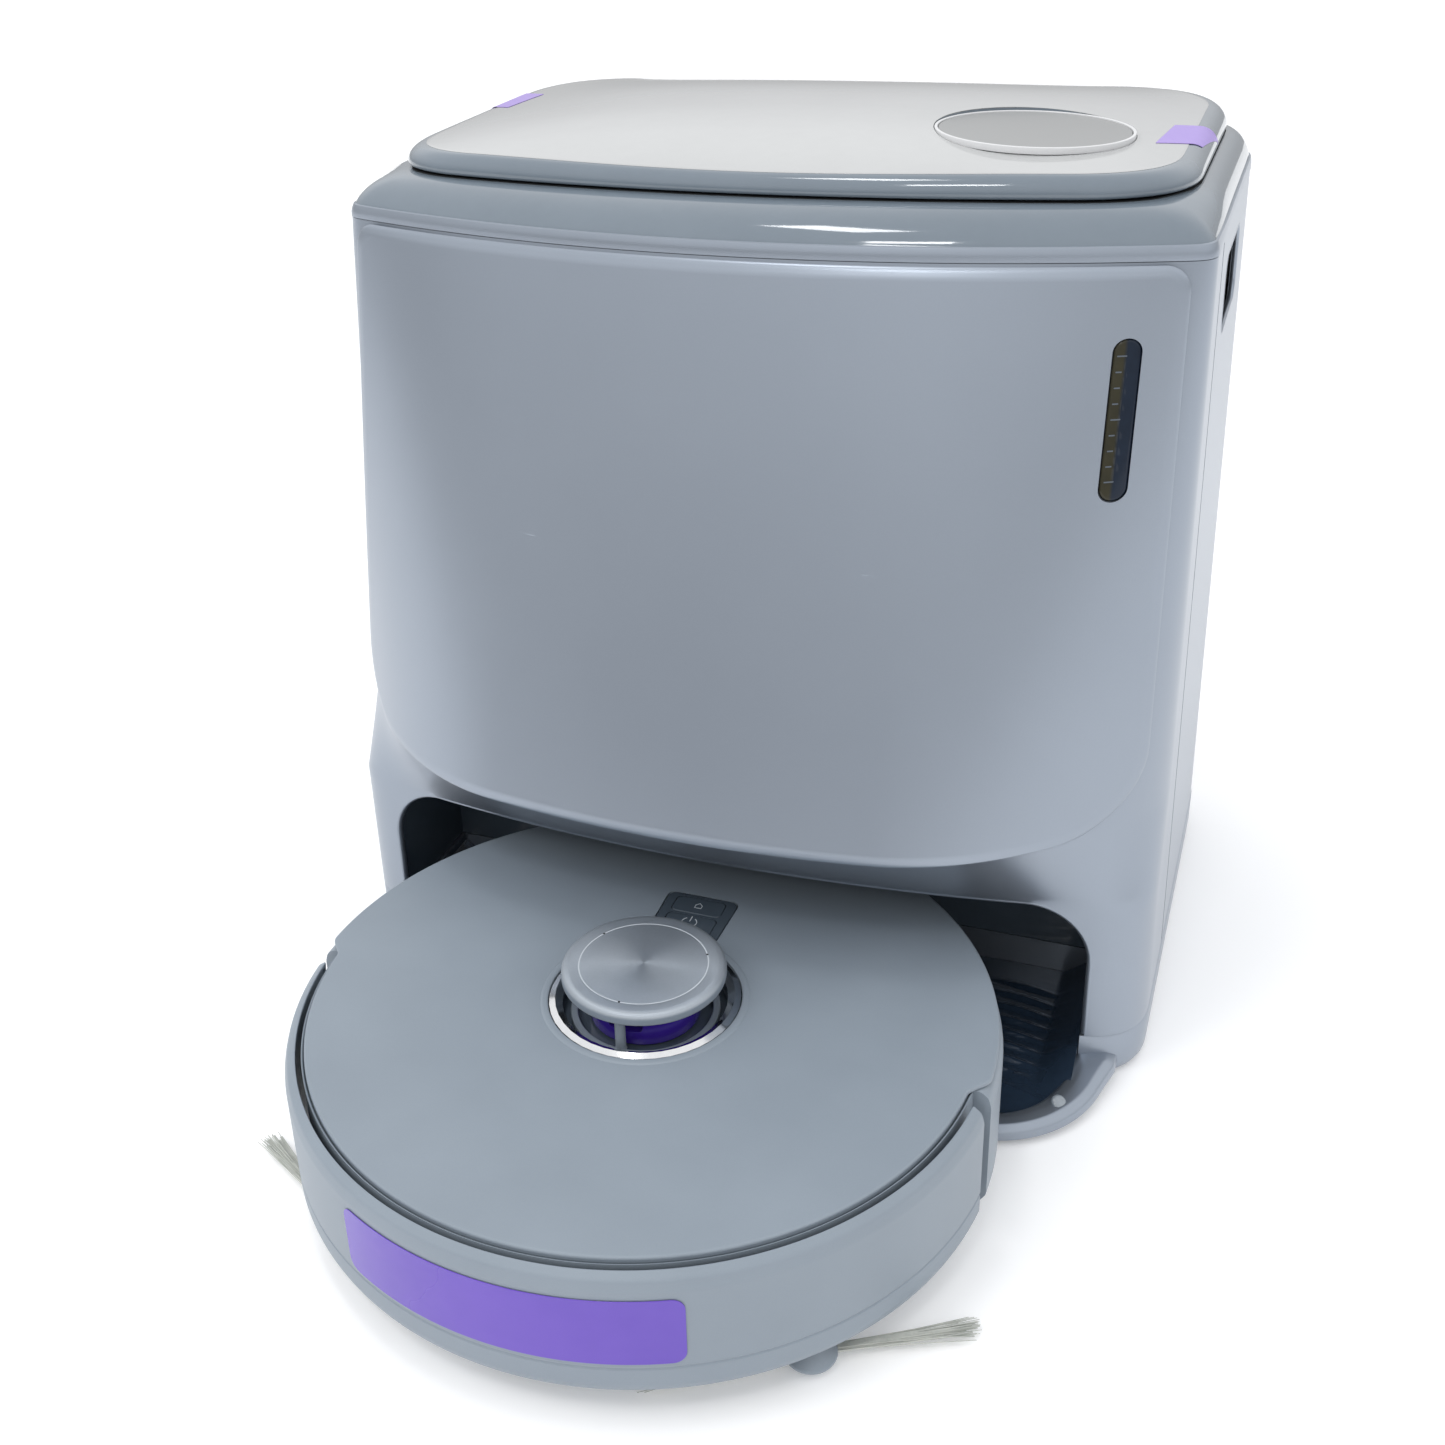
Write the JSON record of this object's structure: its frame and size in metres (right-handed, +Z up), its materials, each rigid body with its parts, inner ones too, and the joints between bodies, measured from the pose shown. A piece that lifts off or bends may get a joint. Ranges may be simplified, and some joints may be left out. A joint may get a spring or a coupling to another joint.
{
  "type": "robot vacuum with washing station",
  "caption": "Round robot vacuum and mop with a raised laser turret, parked half inside a tall station that charges, empties and washes it, with a lift-up lid and pull-off front.",
  "frame": {"origin": "on the floor, at the middle of the footprint of the robot and station together", "axes": "+Z up, +Y from the robot's bumper towards the station's rear wall, +X to the right as seen from in front"},
  "size_m": [0.46, 0.6062, 0.467],
  "materials": {
    "slate_plastic": "fine matte, blue-grey",
    "silver_paint": "satin metallic silver",
    "gloss_slate": "high gloss slate",
    "gloss_lid": "high gloss grey",
    "smoked_window": "smoked, clear gloss",
    "navy_tray": "gloss dark navy",
    "dark_plastic": "fine texture",
    "black_rubber": "matte",
    "contact_metal": "bright",
    "ring_metal": "faceted, bright",
    "clear_tank": "translucent gloss",
    "grey_tank": "smoked gloss",
    "white_plastic": "smooth",
    "bag_fleece": "nonwoven",
    "circuit_board": "solder mask",
    "brushed_cap": "turned, radial brushing",
    "violet_rotor": "gloss violet",
    "violet_film": "peelable transit film, blank",
    "bristle": "nylon bristle",
    "mop_cloth": "microfibre loop"
  },
  "bodies": {
    "station": {"base_plate": "slate_plastic", "foot_1": "black_rubber", "foot_2": "black_rubber", "foot_3": "black_rubber", "foot_4": "black_rubber", "wash_tray": "navy_tray", "bay_liner": "dark_plastic", "charge_contact_left": "contact_metal", "charge_contact_right": "contact_metal", "front_frame": "silver_paint", "rear_shell": "silver_paint", "seam_strip_left": "dark_plastic", "seam_strip_right": "dark_plastic", "handle_cup_left": "dark_plastic", "handle_cup_right": "dark_plastic", "power_inlet": "dark_plastic", "collar": "gloss_slate", "tank_deck": "dark_plastic", "clean_tank": "clear_tank", "clean_tank_cap": "white_plastic", "dirty_tank": "grey_tank", "dirty_tank_cap": "white_plastic", "dust_bag": "bag_fleece", "dust_fan": "dark_plastic", "station_pump": "white_plastic", "station_board": "circuit_board"},
    "panel": {"front_panel": "silver_paint", "level_window": "smoked_window"},
    "lid": {"lid": "gloss_lid", "lid_display": "gloss_slate", "display_ring": "white_plastic"},
    "robot": {"chassis": "slate_plastic", "lidar_base": "dark_plastic", "lidar_ring": "ring_metal", "button_panel": "gloss_slate", "battery": "dark_plastic", "dust_box": "clear_tank", "suction_fan": "dark_plastic", "main_board": "circuit_board", "roller_cover": "dark_plastic", "robot_contact_left": "contact_metal", "robot_contact_right": "contact_metal"},
    "cover": {"top_cover": "slate_plastic"},
    "bumper": {"bumper": "slate_plastic", "bumper_film": "violet_film"},
    "turret_cap": {"lidar_cap": "brushed_cap"},
    "turret_rotor": {"lidar_rotor": "violet_rotor"},
    "home_key": {"home_button": "gloss_slate"},
    "power_key": {"power_button": "gloss_slate"},
    "wheel_arm_left": {"wheel_arm_left": "dark_plastic"},
    "wheel_arm_right": {"wheel_arm_right": "dark_plastic"},
    "wheel_left": {"wheel_left": "black_rubber"},
    "wheel_right": {"wheel_right": "black_rubber"},
    "caster_fork": {"caster_fork": "dark_plastic"},
    "caster_wheel": {"caster_wheel": "black_rubber"},
    "roller": {"roller_brush": "black_rubber"},
    "side_brush_left": {"side_brush_left": "bristle"},
    "side_brush_right": {"side_brush_right": "bristle"},
    "mop_left": {"mop_left": "mop_cloth"},
    "mop_right": {"mop_right": "mop_cloth"}
  },
  "joints": [
    {"name": "robot_drive", "type": "slide", "parent": "station", "child": "robot", "axis": [0, -1, 0], "range_m": [0, 0.45]},
    {"name": "panel_pull", "type": "slide", "parent": "station", "child": "panel", "axis": [0, -1, 0], "range_m": [0, 0.08]},
    {"name": "lid_hinge", "type": "hinge", "parent": "station", "child": "lid", "pos_m": [0, 0.299, 0.4445], "axis": [-1, 0, 0], "range_deg": [0, 80]},
    {"name": "cover_lift", "type": "slide", "parent": "robot", "child": "cover", "axis": [0, 0, 1], "range_m": [0, 0.018]},
    {"name": "bumper_press", "type": "slide", "parent": "robot", "child": "bumper", "axis": [0, 1, 0], "range_m": [0, 0.0025], "stiffness_N_per_m": 600},
    {"name": "cap_press", "type": "slide", "parent": "robot", "child": "turret_cap", "axis": [0, 0, -1], "range_m": [0, 0.0015], "stiffness_N_per_m": 2000, "springref_m": -0.0006},
    {"name": "rotor_spin", "type": "hinge", "parent": "robot", "child": "turret_rotor", "pos_m": [0, -0.1235, 0.085], "axis": [0, 0, 1], "continuous": true},
    {"name": "home_press", "type": "slide", "parent": "robot", "child": "home_key", "axis": [0, 0, -1], "range_m": [0, 0.0008], "stiffness_N_per_m": 1500, "springref_m": -0.0003},
    {"name": "power_press", "type": "slide", "parent": "robot", "child": "power_key", "axis": [0, 0, -1], "range_m": [0, 0.0008], "stiffness_N_per_m": 1500, "springref_m": -0.0003},
    {"name": "arm_left", "type": "hinge", "parent": "robot", "child": "wheel_arm_left", "pos_m": [-0.116, -0.1605, 0.039], "axis": [1, 0, 0], "range_deg": [0, 8], "stiffness_Nm_per_rad": 2, "springref_deg": -2.86},
    {"name": "wheel_spin_left", "type": "hinge", "parent": "wheel_arm_left", "child": "wheel_left", "pos_m": [-0.116, -0.1155, 0.035], "axis": [1, 0, 0], "continuous": true},
    {"name": "arm_right", "type": "hinge", "parent": "robot", "child": "wheel_arm_right", "pos_m": [0.116, -0.1605, 0.039], "axis": [1, 0, 0], "range_deg": [0, 8], "stiffness_Nm_per_rad": 2, "springref_deg": -2.86},
    {"name": "wheel_spin_right", "type": "hinge", "parent": "wheel_arm_right", "child": "wheel_right", "pos_m": [0.116, -0.1155, 0.035], "axis": [1, 0, 0], "continuous": true},
    {"name": "caster_swivel", "type": "hinge", "parent": "robot", "child": "caster_fork", "pos_m": [0, -0.2645, 0.03], "axis": [0, 0, 1], "continuous": true},
    {"name": "caster_roll", "type": "hinge", "parent": "caster_fork", "child": "caster_wheel", "pos_m": [0, -0.2645, 0.0125], "axis": [1, 0, 0], "continuous": true},
    {"name": "roller_spin", "type": "hinge", "parent": "robot", "child": "roller", "pos_m": [0, -0.1695, 0.029], "axis": [1, 0, 0], "continuous": true},
    {"name": "side_brush_spin_left", "type": "hinge", "parent": "robot", "child": "side_brush_left", "pos_m": [-0.118, -0.2355, 0.005], "axis": [0, 0, 1], "continuous": true},
    {"name": "side_brush_spin_right", "type": "hinge", "parent": "robot", "child": "side_brush_right", "pos_m": [0.118, -0.2355, 0.005], "axis": [0, 0, 1], "continuous": true},
    {"name": "mop_spin_left", "type": "hinge", "parent": "robot", "child": "mop_left", "pos_m": [-0.068, -0.0295, 0.0125], "axis": [0, 0, 1], "continuous": true},
    {"name": "mop_spin_right", "type": "hinge", "parent": "robot", "child": "mop_right", "pos_m": [0.068, -0.0295, 0.0125], "axis": [0, 0, 1], "continuous": true}
  ],
  "couplings": [
    {"joint": "mop_spin_right", "follows": "mop_spin_left", "ratio": -1}
  ]
}
